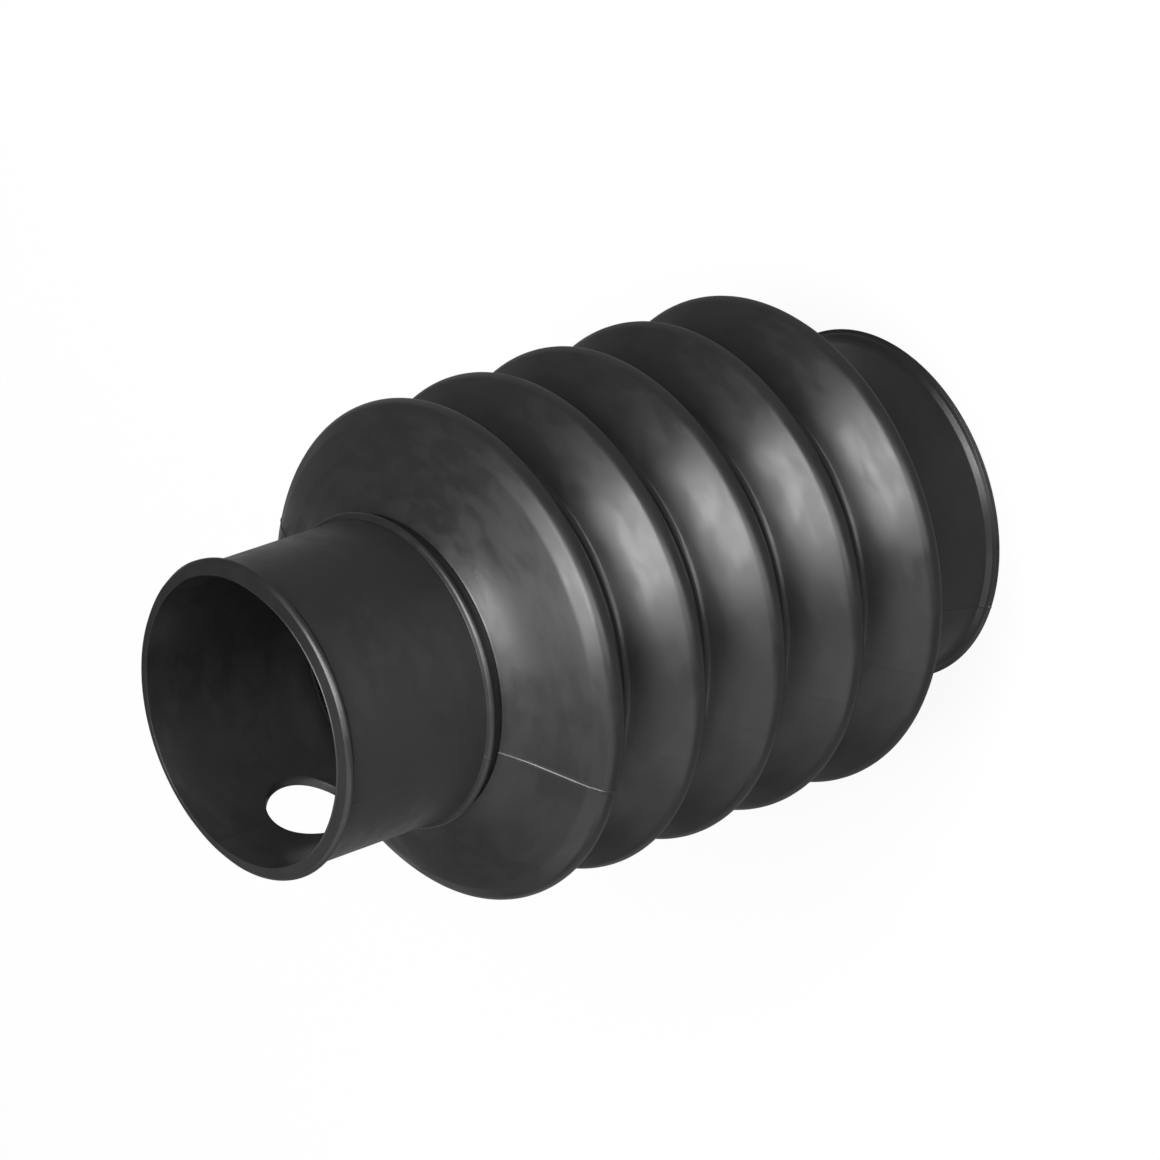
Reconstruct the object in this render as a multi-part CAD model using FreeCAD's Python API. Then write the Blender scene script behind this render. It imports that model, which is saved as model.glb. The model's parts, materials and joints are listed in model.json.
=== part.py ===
import FreeCAD, Part
import math
import os

# Rubber bellows boot, moulded in one piece, in millimetres.
# It stands on its large collar: origin at the centre of the bottom face, +Z along the axis
# to the mouth of the small collar. The mould's parting plane is the YZ plane, and the side
# hole of the small collar faces -X.

# Small collar, at the top
small_bore_dia = 61.0
small_collar_wall = 2.75
small_collar_length = 42.5
small_lip_height = 1.25
small_lip_land = 1.3
small_lip_width = 2.45

# Raised ring and groove at the foot of the small collar, and the step where the fold begins
ring_height = 1.25
ring_width = 2.4
ring_land = 0.8
groove_depth = 0.9
groove_width = 1.75
step_height = 0.45

# Large collar, at the bottom
large_bore_dia = 71.0
large_collar_wall = 2.5
large_collar_length = 22.0
large_lip_height = 1.85
large_lip_land = 0.8
large_lip_width = 1.6

# Folds
fold_count = 5
fold_pitch = 22.75
fold_wall = 2.2
crest_dia = 110.0
valley_dia = 88.0
crest_rounding = 3.0
valley_rounding = 1.0
end_flank_angle = 29.0

# Side hole through the small collar
hole_dia = 20.0
hole_below_mouth = 25.0

# Roundings of the outer corners
lip_edge_rounding = 1.0
lip_under_rounding = 0.6
lip_foot_rounding = 0.8
large_lip_rounding = 0.4
mouth_edge_rounding = 0.4
ring_rounding = 0.5
groove_rounding = 0.3
large_root_rounding = 1.2
bore_corner_rounding = 3.0
least_rounding = 0.3
rounded_share = 0.98

# Thin line of flash that the mould leaves along its parting plane
flash_height = 0.3
flash_width = 0.4
flash_root = 1.0

small_collar_r = small_bore_dia / 2 + small_collar_wall
large_collar_r = large_bore_dia / 2 + large_collar_wall


# A run is one straight stretch of the section: its outward normal, as (radial, axial), and
# its distance from the origin along that normal.
def run_between(start, end):
    length = math.hypot(end[0] - start[0], end[1] - start[1])
    normal = (-(end[1] - start[1]) / length, (end[0] - start[0]) / length)
    return (normal[0], normal[1], normal[0] * start[0] + normal[1] * start[1])


# A straight flank that touches the round crest centred at the given height.
def flank_run(crest_z, angle, side):
    normal = (math.sin(angle), side * math.cos(angle))
    centre_r = crest_dia / 2 - crest_rounding
    return (normal[0], normal[1], normal[0] * centre_r + normal[1] * crest_z + crest_rounding)


def run_height(run, radius):
    return (run[2] - run[0] * radius) / run[1]


def crossing(first, second):
    area = first[0] * second[1] - first[1] * second[0]
    radius = (first[2] * second[1] - first[1] * second[2]) / area
    height = (first[0] * second[2] - first[2] * second[0]) / area
    return (radius, height)


# Angle between a fold's flank and the plane across the axis, so that the flank touches both
# the round crest and the round valley.
def fold_flank_angle():
    rise = (crest_dia - valley_dia) / 2 - crest_rounding - valley_rounding
    run = fold_pitch / 2
    turn = math.asin((crest_rounding + valley_rounding) / math.hypot(rise, run))
    return math.pi / 2 - math.atan2(rise, run) - turn


fold_angle = fold_flank_angle()
end_angle = math.radians(end_flank_angle)


# Height from a collar's end of its flank up to the first crest beyond it.
def end_fold_rise(collar_r):
    flank = flank_run(0.0, end_angle, 1)
    return run_height(flank, collar_r)


lowest_crest_z = large_collar_length + end_fold_rise(large_collar_r)
crest_heights = [lowest_crest_z + fold_pitch * i for i in range(fold_count)]
total_height = crest_heights[-1] + end_fold_rise(small_collar_r) + small_collar_length


# Flanks of all folds from the top down: the two at the ends lean as the collars need.
def fold_runs():
    runs = []
    for crest_z in reversed(crest_heights):
        upper_angle = end_angle if crest_z == crest_heights[-1] else fold_angle
        lower_angle = end_angle if crest_z == crest_heights[0] else fold_angle
        runs.append(flank_run(crest_z, upper_angle, 1))
        runs.append(flank_run(crest_z, lower_angle, -1))
    return runs


# Outer surface from the mouth face down to the bottom face, as runs, with the rounding of
# the corner between each run and the next.
def outer_runs():
    flanks = fold_runs()
    small_r = small_collar_r
    small_lip_r = small_r + small_lip_height
    large_r = large_collar_r
    large_lip_r = large_r + large_lip_height
    ring_r = small_r + ring_height
    groove_r = small_r - groove_depth
    step_r = small_r + step_height
    step_z = run_height(flanks[0], step_r)
    ring_low_z = step_z + groove_width
    ring_high_z = ring_low_z + ring_width
    ring_slope = (ring_width - ring_land) / 2

    mouth = (small_bore_dia / 2, total_height)
    lip_edge = (small_lip_r, total_height)
    lip_under = (small_lip_r, total_height - small_lip_land)
    lip_foot = (small_r, total_height - small_lip_width)
    ring_top_foot = (small_r, ring_high_z)
    ring_top = (ring_r, ring_high_z - ring_slope)
    ring_bottom = (ring_r, ring_low_z + ring_slope)
    ring_bottom_foot = (groove_r, ring_low_z)
    step_foot = (groove_r, step_z)
    step = (step_r, step_z)
    collar_end = (large_r, large_collar_length)
    large_lip_foot = (large_r, large_lip_width)
    large_lip_top = (large_lip_r, large_lip_land)
    large_lip_edge = (large_lip_r, 0.0)
    bottom = (large_bore_dia / 2, 0.0)

    small_end = [
        (run_between(mouth, lip_edge), lip_edge_rounding),
        (run_between(lip_edge, lip_under), lip_under_rounding),
        (run_between(lip_under, lip_foot), lip_foot_rounding),
        (run_between(lip_foot, ring_top_foot), ring_rounding),
        (run_between(ring_top_foot, ring_top), ring_rounding),
        (run_between(ring_top, ring_bottom), ring_rounding),
        (run_between(ring_bottom, ring_bottom_foot), groove_rounding),
        (run_between(ring_bottom_foot, step_foot), groove_rounding),
        (run_between(step_foot, step), groove_rounding),
    ]
    fold_part = []
    for index, flank in enumerate(flanks[:-1]):
        rounding = crest_rounding if index % 2 == 0 else valley_rounding
        fold_part.append((flank, rounding))
    fold_part.append((flanks[-1], large_root_rounding))
    large_end = [
        (run_between(collar_end, large_lip_foot), lip_foot_rounding),
        (run_between(large_lip_foot, large_lip_top), large_lip_rounding),
        (run_between(large_lip_top, large_lip_edge), large_lip_rounding),
        (run_between(large_lip_edge, bottom), mouth_edge_rounding),
    ]
    return small_end + fold_part + large_end


# Corners from the mouth down of a surface that lies inside the outer one: along the two
# collars at the given radii, and along the folds at the given depth under them.
def inside_corners(small_r, large_r, depth):
    flanks = [(run[0], run[1], run[2] - depth) for run in fold_runs()]
    runs = [(1.0, 0.0, small_r)] + flanks + [(1.0, 0.0, large_r)]
    corners = [(small_r, total_height, mouth_edge_rounding)]
    for index in range(len(runs) - 1):
        if index == 0 or index == len(runs) - 2:
            rounding = bore_corner_rounding
        elif index % 2 == 1:
            rounding = max(crest_rounding - depth, least_rounding)
        else:
            rounding = valley_rounding + depth
        corners.append(crossing(runs[index], runs[index + 1]) + (rounding,))
    corners.append((large_r, 0.0, mouth_edge_rounding))
    return corners


# Outer corners, moved outwards by an offset, without the two at the bores.
def outer_corners(offset):
    runs = outer_runs()
    corners = []
    for index in range(len(runs) - 1):
        here, rounding = runs[index]
        after = runs[index + 1][0]
        moved_here = (here[0], here[1], here[2] + offset)
        moved_after = (after[0], after[1], after[2] + offset)
        convex = here[0] * after[1] - here[1] * after[0] < 0
        size = rounding + offset if convex else rounding - offset
        corners.append(crossing(moved_here, moved_after) + (max(size, least_rounding),))
    return corners


# How far each corner's arc reaches along its two edges. Where two arcs meet on a short edge,
# both are made smaller, so that they leave a little of the edge straight.
def arc_reaches(points, wanted):
    reaches = list(wanted)
    for index in range(len(points)):
        after = (index + 1) % len(points)
        room = (points[after] - points[index]).Length * rounded_share
        both = wanted[index] + wanted[after]
        if both > room:
            reaches[index] = min(reaches[index], wanted[index] * room / both)
            reaches[after] = min(reaches[after], wanted[after] * room / both)
    return reaches


# Closed face in the XZ plane from corners given as (radius, height, rounding).
def rounded_face(corners):
    count = len(corners)
    points = [FreeCAD.Vector(corner[0], 0, corner[1]) for corner in corners]
    ways = []
    wanted = []
    for index, corner in enumerate(corners):
        to_before = (points[index - 1] - points[index]).normalize()
        to_after = (points[(index + 1) % count] - points[index]).normalize()
        half = to_before.getAngle(to_after) / 2
        ways.append((to_before, to_after, half))
        wanted.append(corner[2] / math.tan(half))
    arcs = []
    for here, reach, (to_before, to_after, half) in zip(points, arc_reaches(points, wanted), ways):
        rounding = reach * math.tan(half)
        centre_way = (to_before + to_after).normalize()
        middle = here + centre_way * (rounding / math.sin(half) - rounding)
        arcs.append((here + to_before * reach, middle, here + to_after * reach))
    edges = []
    for index, (start, middle, end) in enumerate(arcs):
        edges.append(Part.Arc(start, middle, end).toShape())
        next_start = arcs[(index + 1) % count][0]
        edges.append(Part.LineSegment(end, next_start).toShape())
    return Part.Face(Part.Wire(edges))


def wall():
    inner = inside_corners(small_bore_dia / 2, large_bore_dia / 2, fold_wall)
    corners = outer_corners(0.0) + list(reversed(inner))
    return rounded_face(corners).revolve(FreeCAD.Vector(0, 0, 0), FreeCAD.Vector(0, 0, 1), 360)


def side_hole():
    base = FreeCAD.Vector(0, 0, total_height - hole_below_mouth)
    return Part.makeCylinder(hole_dia / 2, 2 * small_collar_r, base, FreeCAD.Vector(-1, 0, 0))


# The two lines of flash, one on each side, ending flush with the two end faces.
def flash():
    small_r = small_bore_dia / 2 + flash_root
    large_r = large_bore_dia / 2 + flash_root
    outside = outer_corners(flash_height)
    inside = inside_corners(small_r, large_r, fold_wall - flash_root)
    band = rounded_face(outside + list(reversed(inside)))
    strip = band.extrude(FreeCAD.Vector(0, flash_width, 0))
    strip.translate(FreeCAD.Vector(0, -flash_width / 2, 0))
    reach = crest_dia
    between = Part.makeBox(reach, reach, total_height, FreeCAD.Vector(0, -reach / 2, 0))
    strip = strip.common(between)
    front = strip.copy()
    front.rotate(FreeCAD.Vector(0, 0, 0), FreeCAD.Vector(0, 0, 1), -90)
    back = strip.copy()
    back.rotate(FreeCAD.Vector(0, 0, 0), FreeCAD.Vector(0, 0, 1), 90)
    return [front, back]


def bellows_boot():
    body = wall().cut(side_hole())
    return body.fuse(flash()).Solids[0]


boot = bellows_boot()
os.makedirs("parts", exist_ok=True)
boot.exportStep("parts/bellows_boot.step")
print("height", round(total_height, 2), "fold angle", round(math.degrees(fold_angle), 2))
print("solids", len(boot.Solids), "valid", boot.isValid(), "volume cm3", round(boot.Volume / 1000, 2))
print("box", boot.BoundBox)
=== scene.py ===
import json
import math
import bpy
import bmesh
from mathutils import Matrix, Quaternion, Vector, noise


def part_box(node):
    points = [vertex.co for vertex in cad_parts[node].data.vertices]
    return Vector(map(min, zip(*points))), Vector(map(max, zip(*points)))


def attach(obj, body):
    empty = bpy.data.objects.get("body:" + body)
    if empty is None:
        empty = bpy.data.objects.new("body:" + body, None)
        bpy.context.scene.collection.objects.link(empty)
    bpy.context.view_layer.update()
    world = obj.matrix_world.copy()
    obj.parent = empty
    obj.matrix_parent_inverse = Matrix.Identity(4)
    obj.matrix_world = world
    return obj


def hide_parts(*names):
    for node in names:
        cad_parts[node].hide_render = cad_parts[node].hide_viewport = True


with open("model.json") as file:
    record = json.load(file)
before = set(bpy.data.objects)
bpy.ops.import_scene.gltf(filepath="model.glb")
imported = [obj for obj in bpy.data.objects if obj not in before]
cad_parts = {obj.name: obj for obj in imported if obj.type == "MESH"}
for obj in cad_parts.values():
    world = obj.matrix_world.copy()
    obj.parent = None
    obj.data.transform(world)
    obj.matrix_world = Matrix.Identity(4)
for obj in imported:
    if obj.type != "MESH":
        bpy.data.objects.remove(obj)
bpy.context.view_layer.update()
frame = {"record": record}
low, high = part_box("bellows_boot")
print("frame loaded, boot is", round(high.z * 1000, 1), "mm tall")

mounts = {mount["name"]: mount for mount in frame["record"]["mounts"]}
mm = 0.001
touching = 1e-6    # metres; places that are no further apart are one place
nearby = 1e-5      # the same for a length or a radius that was worked out

boot = {
    "columns": 256,                    # faces round the axis
    "smallBore": mounts["small_collar_bore"]["dims"]["r_mm"] * mm,
    "smallWall": 2.75 * mm,
    "smallLip": 1.25 * mm,             # how far the lip stands out
    "smallLipLand": 1.55 * mm,
    "smallLipWidth": 2.45 * mm,
    "smallLipCut": 0.75 * mm,          # chamfer of its edge
    "smallLipRounds": (0.7 * mm, 0.4 * mm, 0.8 * mm),    # chamfer, underside, foot
    "mouthRim": 0.18 * mm,             # a fine rim stands up along the bore's edge
    "mouthRimInside": 0.1 * mm,        # its edges and foot, from the bore
    "mouthRimOutside": 0.22 * mm,
    "mouthRimFoot": 0.45 * mm,
    "mouthRimFootRound": 0.15 * mm,
    "largeBore": mounts["large_collar_bore"]["dims"]["r_mm"] * mm,
    "largeBoreRound": 0.4 * mm,
    "largeWall": 2.5 * mm,
    "largeCollar": 22.0 * mm,
    "largeRootRound": 1.2 * mm,
    # the large lip from the collar outwards, with a thin rim at the bottom: how far it stands
    # out, height and rounding
    "largeLip": [(0, 2.4 * mm, 0.5 * mm), (0.95 * mm, 1.35 * mm, 0.3 * mm),
                 (1.2 * mm, 0.6 * mm, 0.15 * mm), (1.85 * mm, 0.25 * mm, 0.1 * mm),
                 (1.85 * mm, 0, 0.1 * mm)],
    "crest": 55.0 * mm,
    "crestRound": 3.0 * mm,            # of the end flanks
    "foldRound": 2.5 * mm,             # of the flanks between the folds
    "crestEase": 0.3 * mm,             # the crests between them are this much rounder
    "valley": 43.5 * mm,
    "valleyRound": 1.5 * mm,
    "bulge": 0.12 * mm,                # how far the flanks that face the mouth stand out halfway
    "bulgeRadius": 49.0 * mm,
    "bulgeRound": 35.0 * mm,
    "pitch": 22.75 * mm,
    "folds": 5,
    "endSlope": math.radians(29),      # end flanks against a plane across the axis
    "wall": 2.2 * mm,
    "innerCollarRound": 3.0 * mm,
    "innerCrestRound": 0.6 * mm,
    "ringHeight": 1.25 * mm,
    "ringWidth": 1.95 * mm,
    "ringLand": 1.3 * mm,
    "ringRound": 0.85 * mm,
    "groove": 0.5 * mm,
    "grooveWidth": 2.25 * mm,
    "grooveRise": 0.1 * mm,            # of its lower corner above the step
    "fineRound": 0.1 * mm,             # of the sharpest corners
    "step": 0.45 * mm,
    "stepEdge": (0.3 * mm, 0.28 * mm, 0.12 * mm),        # a fine edge: width, height, rounding
    # the first crest has a shoulder towards the mouth, and its flank starts a little steeper
    "shoulder": 51.4 * mm,
    "shoulderSlope": math.radians(35),
    "shoulderRound": 6.0 * mm,
    "firstSlope": math.radians(25.6),
    "rootSlope": math.radians(33),
    "rootWidth": 5.0 * mm,
    "rootRound": 35.0 * mm,
    "longEdge": 5.0 * mm,              # longer edges of the section are cut
    "longEdgeCuts": 4,
    "sharpAngle": math.radians(50),
}

# How the section's corners are rounded
arcs = {
    "edgeShare": 0.96,                 # the most of an edge that its two arcs take up
    "length": 0.42 * mm,               # of a segment
    "turn": 3,                         # least degrees of a segment
    "segments": (2, 11),               # fewest and most
    "innerSegments": 3,                # of an arc inside the boot, unless it is short
    "shortArc": 1.5 * mm,
}

hole = {
    "radius": mounts["side_hole"]["dims"]["r_mm"] * mm,
    "height": mounts["side_hole"]["pos_m"][2],
    "columns": 36,
    "rows": 18,
    "reach": 12.0 * mm,                # of the patch that is made anew round it
    "patchDepth": 0.2 * mm,
    "rounding": 0.45 * mm,
    "roundingRings": [(1, 0), (0.3, 0.15), (0, 1)],      # outwards and inwards, in roundings
    "shift": (-1.15 * mm, -0.1 * mm),  # it lies a little aside: across the boot, along its axis
}

flash = {
    "halfWidth": 0.25 * mm,
    "leastFacing": 0.15,               # how far a point on the seam faces outwards to be raised
    "evenShare": 0.55,                 # of its height
    "roughShare": 0.45,
    "grain": 700,
    # its height in millimetres, by height on the boot in millimetres
    "heights": [(-1, 0.3), (24, 0.3), (30, 0.13), (121, 0.13), (127, 0.38), (137, 0.34),
                (140, 0.2), (182, 0.15)],
}

wear = {
    "boreShift": (-0.70 * mm, 0.41 * mm),
    "boreFrom": 137.5 * mm,
    "boreRamp": 10 * mm,
    "boreSkin": 0.6 * mm,              # what lies this near the bore moves with it
    "flareDepth": 6 * mm,
    # how much wider the bore is at the mouth, and how much further out the lip's edge lies, in
    # millimetres at angles round the axis
    "mouth": [(-180, 0.58), (-150, 0.64), (-90, 0.63), (-60, 0.55), (-30, 0.65), (0, 0.65),
              (30, 1.0), (45, 1.15), (60, 0.87), (80, 0.63), (110, 0.05), (130, 0.43),
              (150, 0.67), (180, 0.58)],
    "lip": [(-180, -0.2), (-165, 0.1), (-130, 0.2), (-90, 0.1), (-60, -0.3), (-20, -0.3),
            (0, 0.2), (25, 0.36), (45, 0.13), (65, -0.37), (85, -1.1), (115, -1.2),
            (145, -1.05), (165, -0.75), (180, -0.2)],
    "crestWave": 0.15 * mm,
    "crestFrom": 4 * mm,               # above the valleys
    "crestRamp": 6 * mm,
    "waveScale": (45, 20),             # across and along the boot
    "collarShift": (-0.3 * mm, -0.3 * mm),
    "collarTurn": math.radians(3.5),
}


# A straight stretch of the section is its outward normal and its distance from the origin
def flankLine(crestZ, slope, rounding, side):
    normal = (math.sin(slope), side * math.cos(slope))
    centre = boot["crest"] - rounding
    return normal[0], normal[1], normal[0] * centre + normal[1] * crestZ + rounding


def crossing(first, second):
    area = first[0] * second[1] - first[1] * second[0]
    return ((first[2] * second[1] - first[1] * second[2]) / area,
            (first[0] * second[2] - first[2] * second[0]) / area)


def heightAt(line, radius):
    return (line[2] - line[0] * radius) / line[1]


def foldSlope():
    rise = boot["crest"] - boot["valley"] - boot["foldRound"] - boot["valleyRound"]
    run = boot["pitch"] / 2
    turn = math.asin((boot["foldRound"] + boot["valleyRound"]) / math.hypot(rise, run))
    return math.pi / 2 - math.atan2(rise, run) - turn


# The flanks of all folds from the mouth down, two to a fold
def foldFlanks():
    end, middle = (boot["endSlope"], boot["crestRound"]), (foldSlope(), boot["foldRound"])
    large = boot["largeBore"] + boot["largeWall"]
    lowest = boot["largeCollar"] + heightAt(flankLine(0, *end, 1), large)
    flanks = []
    for index in reversed(range(boot["folds"])):
        crestZ = lowest + boot["pitch"] * index
        upper = end if index == boot["folds"] - 1 else middle
        lower = end if index == 0 else middle
        flanks += [flankLine(crestZ, *upper, 1), flankLine(crestZ, *lower, -1)]
    return flanks


# Corners of the section's outside from the mouth down, as (radius, height, rounding)
def outerCorners(flanks):
    top = high.z
    bore, fine = boot["smallBore"], boot["fineRound"]
    small = bore + boot["smallWall"]
    large = boot["largeBore"] + boot["largeWall"]
    lip = small + boot["smallLip"]
    cut = boot["smallLipCut"]
    face = top - boot["mouthRim"]
    cutRound, underRound, footRound = boot["smallLipRounds"]
    edgeWidth, edgeHeight, edgeRound = boot["stepEdge"]
    grooveR = small - boot["groove"]
    ringR = small + boot["ringHeight"]
    stepR = small + boot["step"]
    stepZ = heightAt(flanks[0], stepR)
    rootR = stepR + boot["rootWidth"]
    rootZ = stepZ - boot["rootWidth"] * math.tan(boot["rootSlope"])
    shoulderZ = rootZ - (boot["shoulder"] - rootR) * math.tan(boot["firstSlope"])
    firstZ = shoulderZ - (boot["crest"] - boot["shoulder"]) * math.tan(boot["shoulderSlope"])
    ringLow = stepZ + boot["grooveWidth"]
    ringHigh = ringLow + boot["ringWidth"]
    ringSlope = (boot["ringWidth"] - boot["ringLand"]) / 2
    outer = [
        (bore + boot["mouthRimOutside"], top, fine),
        (bore + boot["mouthRimFoot"], face, boot["mouthRimFootRound"]),
        (lip - cut, face, cutRound),
        (lip, face - cut, cutRound),
        (lip, top - boot["smallLipLand"], underRound),
        (small, top - boot["smallLipWidth"], footRound),
        (small, hole["height"] + hole["reach"], 0),
        (small, hole["height"] - hole["reach"], 0),
        (small, ringHigh, fine),
        (ringR, ringHigh - ringSlope, boot["ringRound"]),
        (ringR, ringLow + ringSlope, boot["ringRound"]),
        (grooveR, ringLow, fine),
        (grooveR, stepZ + boot["grooveRise"], fine),
        (stepR - edgeWidth, stepZ + edgeHeight, edgeRound),
        (stepR, stepZ, fine),
        (rootR, rootZ, boot["rootRound"]),
        (boot["shoulder"], shoulderZ, boot["shoulderRound"]),
        (boot["crest"], firstZ, boot["crestRound"]),
        (boot["crest"], heightAt(flanks[1], boot["crest"]), boot["crestRound"])]
    for index in range(1, len(flanks) - 1):
        line = flanks[index + 1]
        if index % 2 == 0:
            outer.append(crossing(flanks[index], line) + (boot["foldRound"] + boot["crestEase"],))
        else:
            outer.append(crossing(flanks[index], line) + (boot["valleyRound"],))
            bulgeZ = heightAt(line, boot["bulgeRadius"]) + boot["bulge"] / line[1]
            outer.append((boot["bulgeRadius"], bulgeZ, boot["bulgeRound"]))
    outer.append((large, boot["largeCollar"], boot["largeRootRound"]))
    outer += [(large + out, height, rounding) for out, height, rounding in boot["largeLip"]]
    return outer


# Corners of its inside, from the bottom up
def innerCorners(flanks):
    bore = boot["smallBore"]
    walls = [(1, 0, bore)]
    walls += [(line[0], line[1], line[2] - boot["wall"]) for line in flanks]
    walls += [(1, 0, boot["largeBore"])]
    inner = [(bore + boot["mouthRimInside"], high.z, boot["fineRound"]),
             (bore, hole["height"] + hole["reach"], 0),
             (bore, hole["height"] - hole["reach"], 0)]
    for index in range(len(walls) - 1):
        if index in (0, len(walls) - 2):
            rounding = boot["innerCollarRound"]
        elif index % 2 == 1:
            rounding = boot["innerCrestRound"]
        else:
            rounding = boot["valleyRound"] + boot["wall"]
        inner.append(crossing(walls[index], walls[index + 1]) + (rounding,))
    inner.append((boot["largeBore"], 0, boot["largeBoreRound"]))
    return inner[::-1]


# Selects the vertices, edges or faces that pass the test, and counts them
def selectWhere(kind, test):
    mesh = bmesh.from_edit_mesh(bpy.context.object.data)
    bpy.ops.mesh.select_all(action="DESELECT")
    chosen = [part for part in getattr(mesh, kind) if test(part)]
    for part in chosen:
        part.select_set(True)
    if kind == "verts":
        mesh.select_flush(True)
    bmesh.update_edit_mesh(bpy.context.object.data)
    return len(chosen)


def selectAll():
    bpy.ops.mesh.select_all(action="SELECT")


# Each corner as its place, half its inside angle and how far its arc reaches along its edges;
# two arcs that meet on a short edge are made smaller
def cornerArcs(corners):
    count = len(corners)
    places = [Vector((radius, 0, height)) for radius, height, rounding in corners]
    halves = []
    for i, here in enumerate(places):
        halves.append((places[i - 1] - here).angle(places[(i + 1) % count] - here) / 2)
    wanted = [corner[2] / math.tan(half) for corner, half in zip(corners, halves)]
    reaches = list(wanted)
    for i in range(count):
        after = (i + 1) % count
        both = wanted[i] + wanted[after]
        room = arcs["edgeShare"] * (places[after] - places[i]).length
        if both > room:
            reaches[i] = min(reaches[i], wanted[i] * room / both)
            reaches[after] = min(reaches[after], wanted[after] * room / both)
    return list(zip(places, halves, reaches))


def makeSection(outer, inner):
    corners = outer + inner
    bpy.ops.object.select_all(action="DESELECT")
    bpy.ops.mesh.primitive_plane_add(size=mm)
    bpy.ops.object.mode_set(mode="EDIT")
    bpy.ops.mesh.merge(type="CENTER")
    selectAll()
    bpy.ops.transform.translate(value=(corners[0][0], 0, corners[0][1]))
    for here, after in zip(corners, corners[1:]):
        step = (after[0] - here[0], 0, after[1] - here[1])
        bpy.ops.mesh.extrude_region_move(TRANSFORM_OT_translate={"value": step})
    ends = [Vector((corner[0], 0, corner[1])) for corner in (corners[0], corners[-1])]
    selectWhere("verts", lambda vertex: any((vertex.co - end).length < touching for end in ends))
    bpy.ops.mesh.edge_face_add()
    fewest, most = arcs["segments"]
    for index, (here, half, reach) in enumerate(cornerArcs(corners)):
        if not reach:
            continue
        turn = math.pi - 2 * half
        length = reach * math.tan(half) * turn
        segments = arcs["innerSegments"]
        if index < len(outer) or length < arcs["shortArc"]:
            wanted = min(round(length / arcs["length"]), round(math.degrees(turn) / arcs["turn"]))
            segments = max(fewest, min(most, wanted))
        # this profile puts the middle of the bevel on the round arc
        profile = (1 - 0.5 / (1 + math.sin(half))) ** 2
        if selectWhere("verts", lambda vertex: (vertex.co - here).length < touching) != 1:
            print("corner missed", here)
        bpy.ops.mesh.bevel(offset=reach, segments=segments, profile=profile, affect="VERTICES")
    print("section drawn,", len(corners), "corners")


def spinBoot():
    collarRadii = (boot["smallBore"], boot["smallBore"] + boot["smallWall"])

    def besideHole(edge):
        a, b = (vertex.co for vertex in edge.verts)
        return (abs((a - b).length - 2 * hole["reach"]) < nearby and abs(a.x - b.x) < touching
                and min(abs(a.x - radius) for radius in collarRadii) < nearby)

    selectWhere("edges", besideHole)
    bpy.ops.mesh.subdivide(number_cuts=hole["rows"] - 1)
    selectWhere("edges", lambda edge: edge.calc_length() > boot["longEdge"])
    bpy.ops.mesh.subdivide(number_cuts=boot["longEdgeCuts"])
    selectAll()
    bpy.ops.mesh.spin(steps=boot["columns"], angle=2 * math.pi, center=(0, 0, 0), axis=(0, 0, 1))
    selectAll()
    bpy.ops.mesh.remove_doubles(threshold=touching)
    bpy.ops.mesh.normals_make_consistent(inside=False)
    print("boot spun")


# The patch of faces round the hole goes, and rings of edges are bridged from its outer edge
# through the wall to its inner edge
def cutHole():
    innerR = boot["smallBore"]
    outerR = innerR + boot["smallWall"]
    halfTurn = math.pi * hole["columns"] / boot["columns"]
    centreY, centreZ = hole["shift"][0], hole["height"] + hole["shift"][1]

    def inPatch(face):
        place = face.calc_center_median()
        return (abs(place.z - hole["height"]) < hole["reach"] and place.x < 0
                and abs(math.atan2(place.y, -place.x)) < halfTurn
                and math.hypot(place.x, place.y) < outerR + hole["patchDepth"])

    def isRing(edge, radius, wallR):
        return all(abs(math.hypot(v.co.y - centreY, v.co.z - centreZ) - radius) < touching
                   and abs(math.hypot(v.co.x, v.co.y) - wallR) < touching and v.co.x < 0
                   for v in edge.verts)

    def isPatchEdge(edge, wallR):
        return len(edge.link_faces) == 1 and all(
            abs(math.hypot(v.co.x, v.co.y) - wallR) < nearby for v in edge.verts)

    def bridge(test):
        selectWhere("edges", test)
        bpy.ops.mesh.bridge_edge_loops()

    patchFaces = selectWhere("faces", inPatch)
    bpy.ops.mesh.delete(type="FACE")
    radius, rim, steps = hole["radius"], hole["rounding"], hole["roundingRings"]
    rings = [(radius + out * rim, outerR - depth * rim) for out, depth in steps]
    rings += [(radius + out * rim, innerR + depth * rim) for out, depth in reversed(steps)]
    sides = 2 * (hole["columns"] + hole["rows"])
    for ringR, wallR in rings:
        bpy.ops.mesh.select_all(action="DESELECT")
        bpy.ops.mesh.primitive_circle_add(vertices=sides, radius=ringR,
                                          location=(0, centreY, centreZ),
                                          rotation=(0, math.pi / 2, 0))
        mesh = bmesh.from_edit_mesh(bpy.context.object.data)
        for vertex in mesh.verts:
            if vertex.select:
                vertex.co.x = -math.sqrt(wallR ** 2 - vertex.co.y ** 2)
        bmesh.update_edit_mesh(bpy.context.object.data)
    bridge(lambda edge: isPatchEdge(edge, outerR) or isRing(edge, *rings[0]))
    for first, second in zip(rings, rings[1:]):
        bridge(lambda edge: isRing(edge, *first) or isRing(edge, *second))
    bridge(lambda edge: isPatchEdge(edge, innerR) or isRing(edge, *rings[-1]))
    selectAll()
    bpy.ops.mesh.normals_make_consistent(inside=False)
    print("hole cut,", patchFaces, "faces taken out")


def smooth(value):
    value = min(max(value, 0), 1)
    return value * value * (3 - 2 * value)


# The value of a table of (place, millimetres) at a place
def readTable(table, at):
    for (start, first), (end, second) in zip(table, table[1:]):
        if start <= at <= end:
            return (first + (second - first) * smooth((at - start) / (end - start))) * mm


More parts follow.
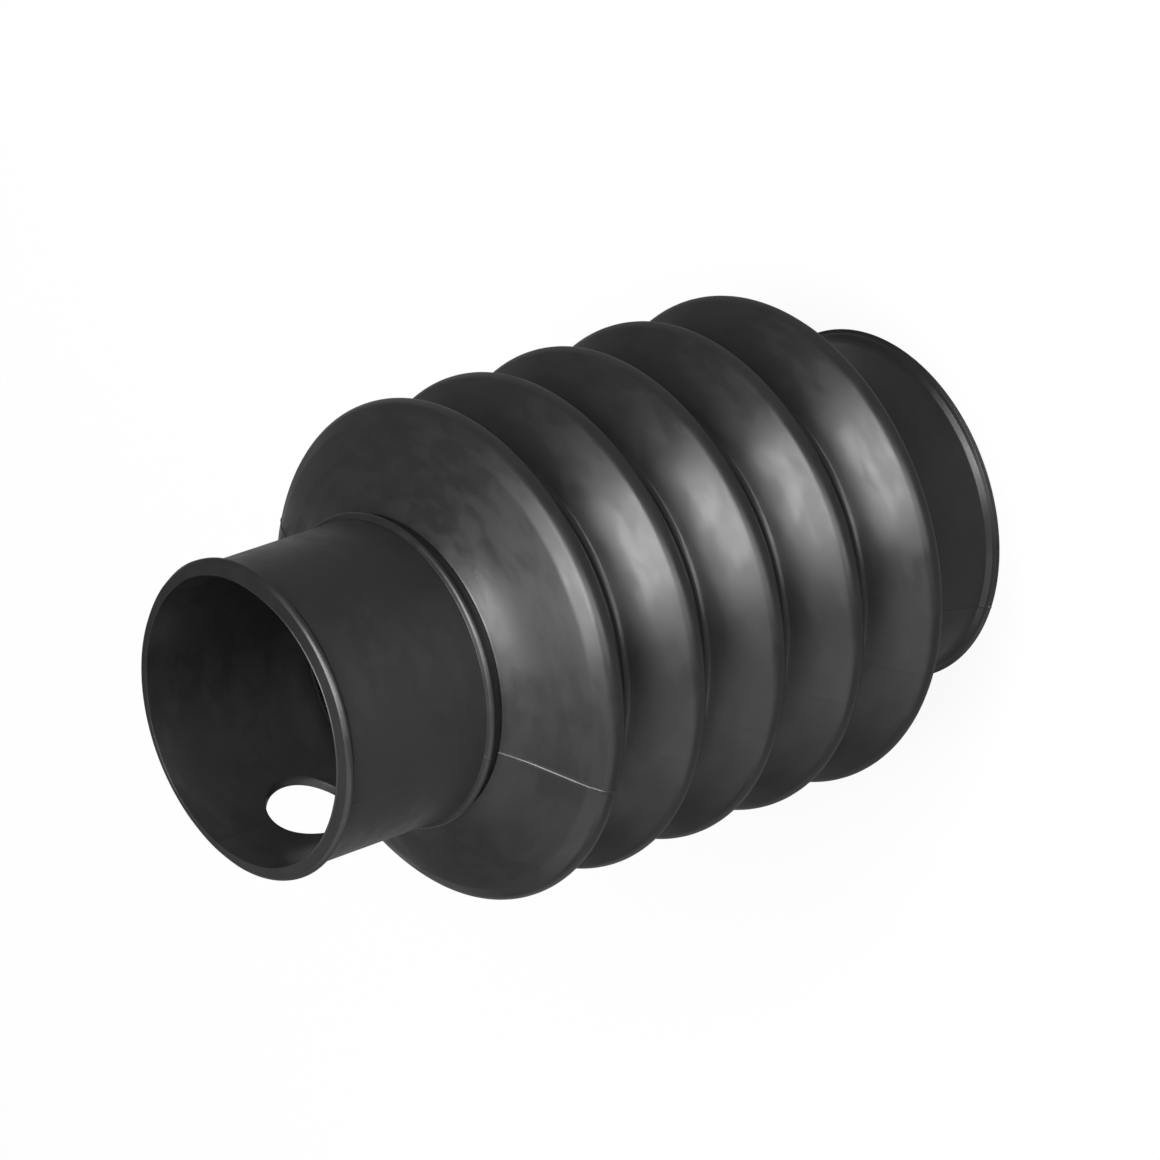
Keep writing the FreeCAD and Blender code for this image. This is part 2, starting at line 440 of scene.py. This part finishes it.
# A raised line along each seam: its column of edges is bevelled, and the strip's middle lifted
def raiseFlash():
    selectWhere("edges", lambda edge: all(abs(vertex.co.x) < touching for vertex in edge.verts))
    bpy.ops.mesh.bevel(offset=flash["halfWidth"], segments=2, affect="EDGES")
    mesh = bmesh.from_edit_mesh(bpy.context.object.data)
    mesh.normal_update()
    moves = []
    for vertex in mesh.verts:
        facing = vertex.normal.y * math.copysign(1, vertex.co.y)
        if abs(vertex.co.x) < touching and facing > flash["leastFacing"]:
            height = readTable(flash["heights"], vertex.co.z / mm)
            rough = noise.noise(vertex.co * flash["grain"])
            share = flash["evenShare"] + flash["roughShare"] * rough
            moves.append((vertex, vertex.normal * height * share))
    for vertex, move in moves:
        vertex.co += move
        vertex.co.z = min(max(vertex.co.z, low.z), high.z)
    bmesh.update_edit_mesh(bpy.context.object.data)
    print("flash raised at", len(moves), "points")


# Moves a place outwards from the axis, and aside by a share of a shift
def move(place, outwards, shift=(0, 0), share=0):
    radius = math.hypot(place.x, place.y)
    acrossX, acrossY = place.x / radius, place.y / radius
    place.x += shift[0] * share + acrossX * outwards
    place.y += shift[1] * share + acrossY * outwards


# The boot is a little out of true: its bore lies off the centre and opens at the mouth, the
# large collar is pushed aside and turned, and the crests are faintly wavy
def setOutOfTrue():
    mesh = bmesh.from_edit_mesh(bpy.context.object.data)
    smallOuter = boot["smallBore"] + boot["smallWall"]
    for vertex in mesh.verts:
        place = vertex.co
        radius = math.hypot(place.x, place.y)
        angle = math.degrees(math.atan2(place.y, place.x))
        if radius < boot["smallBore"] + wear["boreSkin"] and place.z > wear["boreFrom"]:
            flare = readTable(wear["mouth"], angle)
            flare *= smooth((place.z - high.z + wear["flareDepth"]) / wear["flareDepth"])
            share = smooth((place.z - wear["boreFrom"]) / wear["boreRamp"])
            move(place, flare, wear["boreShift"], share)
        elif radius > smallOuter and place.z > high.z - boot["smallLipWidth"]:
            push = readTable(wear["lip"], angle) * (radius - smallOuter) / boot["smallLip"]
            move(place, push)
        elif radius > boot["valley"] + wear["crestFrom"]:
            share = smooth((radius - boot["valley"] - wear["crestFrom"]) / wear["crestRamp"])
            across, along = wear["waveScale"]
            here = Vector((place.x * across, place.y * across, place.z * along))
            wave = 0.5 + 0.5 * noise.noise(here)
            move(place, -wear["crestWave"] * wave * share)
        elif place.z < boot["largeCollar"]:
            share = smooth((boot["largeCollar"] - place.z) / boot["largeCollar"])
            place.xy = place.xy @ Matrix.Rotation(wear["collarTurn"] * share, 2)
            move(place, 0, wear["collarShift"], share)
    bmesh.update_edit_mesh(bpy.context.object.data)


def makeBoot():
    flanks = foldFlanks()
    makeSection(outerCorners(flanks), innerCorners(flanks))
    spinBoot()
    cutHole()
    raiseFlash()
    setOutOfTrue()
    selectAll()
    bpy.ops.mesh.normals_make_consistent(inside=False)
    bpy.ops.object.mode_set(mode="OBJECT")
    piece = bpy.context.object
    piece.name = "bootRubber"
    bpy.ops.object.shade_smooth_by_angle(angle=boot["sharpAngle"])
    bpy.ops.object.modifier_add(type="WEIGHTED_NORMAL")
    piece.modifiers[-1].keep_sharp = True
    bpy.ops.object.modifier_apply(modifier=piece.modifiers[-1].name)
    return piece


def describe(piece):
    mesh = bmesh.new()
    mesh.from_mesh(piece.data)
    print("boot made: vertices", len(mesh.verts),
          "triangles", sum(len(face.verts) - 2 for face in mesh.faces),
          "open edges", sum(len(edge.link_faces) != 2 for edge in mesh.edges),
          "volume cm3", round(mesh.calc_volume() * 1e6, 2))
    mesh.free()


piece = makeBoot()
describe(piece)
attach(piece, "root")
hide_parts("bellows_boot")


# One value of a shader, with arithmetic that adds the maths nodes
class Signal:
    def __init__(self, tree, socket):
        self.tree, self.socket = tree, socket

    def __add__(self, other):
        return maths(self.tree, "ADD", self, other)

    def __radd__(self, other):
        return maths(self.tree, "ADD", other, self)

    def __sub__(self, other):
        return maths(self.tree, "SUBTRACT", self, other)

    def __rsub__(self, other):
        return maths(self.tree, "SUBTRACT", other, self)

    def __mul__(self, other):
        return maths(self.tree, "MULTIPLY", self, other)

    def __rmul__(self, other):
        return maths(self.tree, "MULTIPLY", other, self)

    def __truediv__(self, other):
        return maths(self.tree, "DIVIDE", self, other)

    def __rtruediv__(self, other):
        return maths(self.tree, "DIVIDE", other, self)

    # 0 below the first limit, 1 above the second, and smooth between them
    def between(self, limits):
        return addNode(self.tree, "ShaderNodeMapRange", {"interpolation_type": "SMOOTHSTEP"},
                       {"Value": self, "From Min": limits[0], "From Max": limits[1]}, "Result")


def feed(tree, slot, value):
    if isinstance(value, Signal):
        tree.links.new(value.socket, slot)
    else:
        slot.default_value = value


# Any node: its type, its settings, and the values or links of its sockets by name or number
def addNode(tree, kind, settings, values, output=0):
    node = tree.nodes.new(kind)
    for name, value in settings.items():
        setattr(node, name, value)
    for name, value in values.items():
        feed(tree, node.inputs[name], value)
    return Signal(tree, node.outputs[output])


def maths(tree, operation, *values):
    return addNode(tree, "ShaderNodeMath", {"operation": operation}, dict(enumerate(values)))


# A place on the object, and its three coordinates
def objectPlace(tree):
    place = addNode(tree, "ShaderNodeTexCoord", {}, {}, "Object")
    parts = addNode(tree, "ShaderNodeSeparateXYZ", {}, {"Vector": place}).socket.node.outputs
    return [place] + [Signal(tree, part) for part in parts]


def newMaterial(name):
    material = bpy.data.materials.new(name)
    material.use_nodes = True
    return material, material.node_tree, material.node_tree.nodes["Principled BSDF"]


rubberLook = {
    "colour": (0.0122, 0.0122, 0.0125, 1),
    # the lighter colour serves both for dust and for the painted light on the collars
    "dusty": (0.023, 0.023, 0.0232, 1),
    "roughness": 0.36,
    "specular": 0.7,
    # soft patches and streaks that follow the folds: long round the axis, short across it
    "unrolled": 0.022,                 # metres of pattern to a radian round the axis
    "clouds": {"Scale": 105, "Detail": 2, "Distortion": 0.3},
    "streaks": {"Scale": 240, "Detail": 2, "Distortion": 0.3},
    "swells": {"Scale": 70, "Detail": 1},
    "fine": {"Scale": 1100, "Detail": 2},
    "patchLimits": (0.42, 0.56),
    "streakLimits": (0.4, 0.62),
    "patchGloss": 0.09,
    "streakGloss": 0.085,
    # the patches show most on the first flank: its heights and shares
    "firstFlank": ((0.127, 0.13), (0.137, 0.14)),
    "plainShare": 0.65,
    "firstShare": 0.35,
    # where one of them is larger and darker
    "darkPatch": (0.0441, -0.0156, 0.1304),
    "darkLimits": (0.0024, 0.0034),
    "darkRagged": 0.004,
    "darkMatt": 0.07,
    # painted light: the collars are made lighter, except on the side that faces +x and +y, which
    # stays darker as painted shade
    "collars": ((0.018, 0.0225), (0.1385, 0.1425)),
    "cleanLimits": (-0.2, 1.0),
    "cleanShare": 1.5,
    # shares of the lighter colour: dust in patches and streaks, painted light on the collars, and
    # less at the dark patch
    "dust": {"patch": 0.25, "streak": 0.2, "collars": 0.75, "dark": -0.3},
    "relief": {"swells": 0.14, "clouds": 0.05, "streaks": 0.02, "fine": 0.002},
    "reliefDepth": 1 * mm,
}


def makeRubber():
    look = rubberLook
    material, tree, shader = newMaterial("rubber")
    place, x, y, z = objectPlace(tree)
    radius = maths(tree, "SQRT", x * x + y * y)
    angle = maths(tree, "ARCTAN2", y, x)
    wrapped = addNode(tree, "ShaderNodeCombineXYZ", {},
                      {"X": angle * look["unrolled"], "Y": radius, "Z": z})

    def noiseAt(vector, name):
        return addNode(tree, "ShaderNodeTexNoise", {"noise_dimensions": "3D"},
                       {"Vector": vector, **look[name]}, "Fac")

    clouds, streaks = noiseAt(wrapped, "clouds"), noiseAt(wrapped, "streaks")
    swells, fine = noiseAt(place, "swells"), noiseAt(place, "fine")
    patch = clouds.between(look["patchLimits"])
    streak = streaks.between(look["streakLimits"])
    flankFrom, flankTo = look["firstFlank"]
    firstFlank = z.between(flankFrom) * (1 - z.between(flankTo))
    share = look["plainShare"] + firstFlank * look["firstShare"]
    away = addNode(tree, "ShaderNodeVectorMath", {"operation": "DISTANCE"},
                   {0: place, 1: look["darkPatch"]}, "Value")
    dark = 1 - (away + (streaks - 0.5) * look["darkRagged"]).between(look["darkLimits"])
    uneven = (0.5 - patch) * look["patchGloss"] + (streak - 0.5) * look["streakGloss"]
    roughness = look["roughness"] + uneven * share + dark * look["darkMatt"]
    feed(tree, shader.inputs["Roughness"], roughness)

    # painted light on the collars, and painted shade on the side that faces +x and +y
    shadedSide = ((x + y) / radius).between(look["cleanLimits"])
    collarTo, collarFrom = look["collars"]
    collars = 1 - z.between(collarTo) + z.between(collarFrom)
    collars = collars * (1 - shadedSide * look["cleanShare"])
    # the lighter colour is partly dust in patches and streaks and partly painted light on the
    # collars
    dustAndLightShares = look["dust"]
    dust = (patch * dustAndLightShares["patch"] + streak * dustAndLightShares["streak"]
            + collars * dustAndLightShares["collars"] + dark * dustAndLightShares["dark"])
    colour = addNode(tree, "ShaderNodeMix", {"data_type": "RGBA"},
                     {0: dust, 6: look["colour"], 7: look["dusty"]}, 2)
    feed(tree, shader.inputs["Base Color"], colour)

    relief = look["relief"]
    height = ((swells - 0.5) * relief["swells"] + (clouds - 0.5) * relief["clouds"]
              + (streaks - 0.5) * relief["streaks"] + (fine - 0.5) * relief["fine"])
    bump = addNode(tree, "ShaderNodeBump", {}, {"Distance": look["reliefDepth"], "Height": height})
    feed(tree, shader.inputs["Normal"], bump)
    shader.inputs["Specular IOR Level"].default_value = look["specular"]
    return material


piece.data.materials.append(makeRubber())
print("rubber done")

# The floor is plain and pale. The camera sees it white, with a faint shadow; reflections see it
# dimmer, and a little brighter behind the object than before it
floorLook = {
    "size": 8,
    "white": 0.96,
    "bounced": 0.06,
    "glow": 1.0,
    "shadowShare": 0.08,
    "mirrored": 0.2,
    "behind": 0.3,
    "behindFrom": (0.12, 0.3),
}


def makeFloor():
    look = floorLook
    bpy.ops.object.select_all(action="DESELECT")
    bpy.ops.mesh.primitive_plane_add(size=look["size"])
    floor = bpy.context.object
    floor.name = "floor"
    material, tree, shader = newMaterial("paper")
    shader.inputs["Roughness"].default_value = 1.0
    shader.inputs["Specular IOR Level"].default_value = 0.0
    seen, glossy, through = (addNode(tree, "ShaderNodeLightPath", {}, {}, name) for name in
                             ("Is Camera Ray", "Is Glossy Ray", "Is Transmission Ray"))
    tone = look["bounced"] + seen * (look["white"] - look["bounced"])
    feed(tree, shader.inputs["Base Color"], tone)
    x, y = objectPlace(tree)[1:3]
    behind = (y - x).between(look["behindFrom"])
    mirrored = look["mirrored"] + behind * (look["behind"] - look["mirrored"])
    reflected = maths(tree, "MAXIMUM", glossy, through)
    glowShare = seen * (1 - look["shadowShare"]) + reflected * mirrored
    glow = addNode(tree, "ShaderNodeEmission", {},
                   {"Color": (1, 1, 1, 1), "Strength": look["glow"]})
    mixed = addNode(tree, "ShaderNodeMixShader", {},
                    {0: glowShare, 1: Signal(tree, shader.outputs[0]), 2: glow})
    feed(tree, tree.nodes["Material Output"].inputs["Surface"], mixed)
    floor.data.materials.append(material)


makeFloor()
print("floor done")

view = {
    "aim": (0.0034, 0.0034, 0.0846),
    "azimuth": 44.9,
    "elevation": 37.74,
    "roll": -109.04,
    "distance": 1.6257,
    "lens": 235.09,
}

# One large soft lamp above the camera's right, and weak ones round it
studio = {
    "aim": (0, 0, 0.09),
    "distance": 1.3,
    "lamps": [
        {"azimuth": 63, "elevation": 56, "size": 0.85, "power": 20},
        {"azimuth": 45, "elevation": 80, "size": 0.5, "power": 1.8},
        {"azimuth": 40, "elevation": 12, "size": 0.7, "power": 4.8},
        {"azimuth": 45, "elevation": 34, "size": 0.5, "power": 1.5},
        {"azimuth": 330, "elevation": 24, "size": 1.0, "power": 2.2},
        {"azimuth": 324, "elevation": 60, "size": 1.0, "power": 1.3},
        {"azimuth": 285, "elevation": 34, "size": 0.5, "power": 0.6},
    ],
    "world": 0.15,                     # how strongly the world lights the object
    "worldSeen": 1.0,                  # the camera sees it white
}


# Place and turn of a camera or lamp that looks at the aim from an azimuth and elevation
def aimed(azimuth, elevation, distance, aim):
    around, above = math.radians(azimuth), math.radians(elevation)
    back = Vector((math.sin(around) * math.cos(above), -math.cos(around) * math.cos(above),
                   math.sin(above)))
    return Vector(aim) + back * distance, (-back).to_track_quat("-Z", "Y")


def addCamera():
    place, turn = aimed(view["azimuth"], view["elevation"], view["distance"], view["aim"])
    bpy.ops.object.camera_add(location=place)
    camera = bpy.context.object
    camera.rotation_mode = "QUATERNION"
    camera.rotation_quaternion = turn @ Quaternion((0, 0, 1), math.radians(view["roll"]))
    camera.data.lens = view["lens"]
    bpy.context.scene.camera = camera


def addWorld():
    world = bpy.data.worlds.new("studio")
    bpy.context.scene.world = world
    world.use_nodes = True
    tree, sky = world.node_tree, world.node_tree.nodes["Background"]
    sky.inputs["Color"].default_value = (1, 1, 1, 1)
    seen = addNode(tree, "ShaderNodeLightPath", {}, {}, "Is Camera Ray")
    strength = studio["world"] + seen * (studio["worldSeen"] - studio["world"])
    feed(tree, sky.inputs["Strength"], strength)


def addLamps():
    for lamp in studio["lamps"]:
        place, turn = aimed(lamp["azimuth"], lamp["elevation"], studio["distance"], studio["aim"])
        bpy.ops.object.light_add(type="AREA", location=place)
        light = bpy.context.object
        light.rotation_mode = "QUATERNION"
        light.rotation_quaternion = turn
        light.data.size = lamp["size"]
        light.data.energy = lamp["power"]


addCamera()
addWorld()
addLamps()
bpy.context.scene.view_settings.view_transform = "Standard"
print("camera and lamps done")
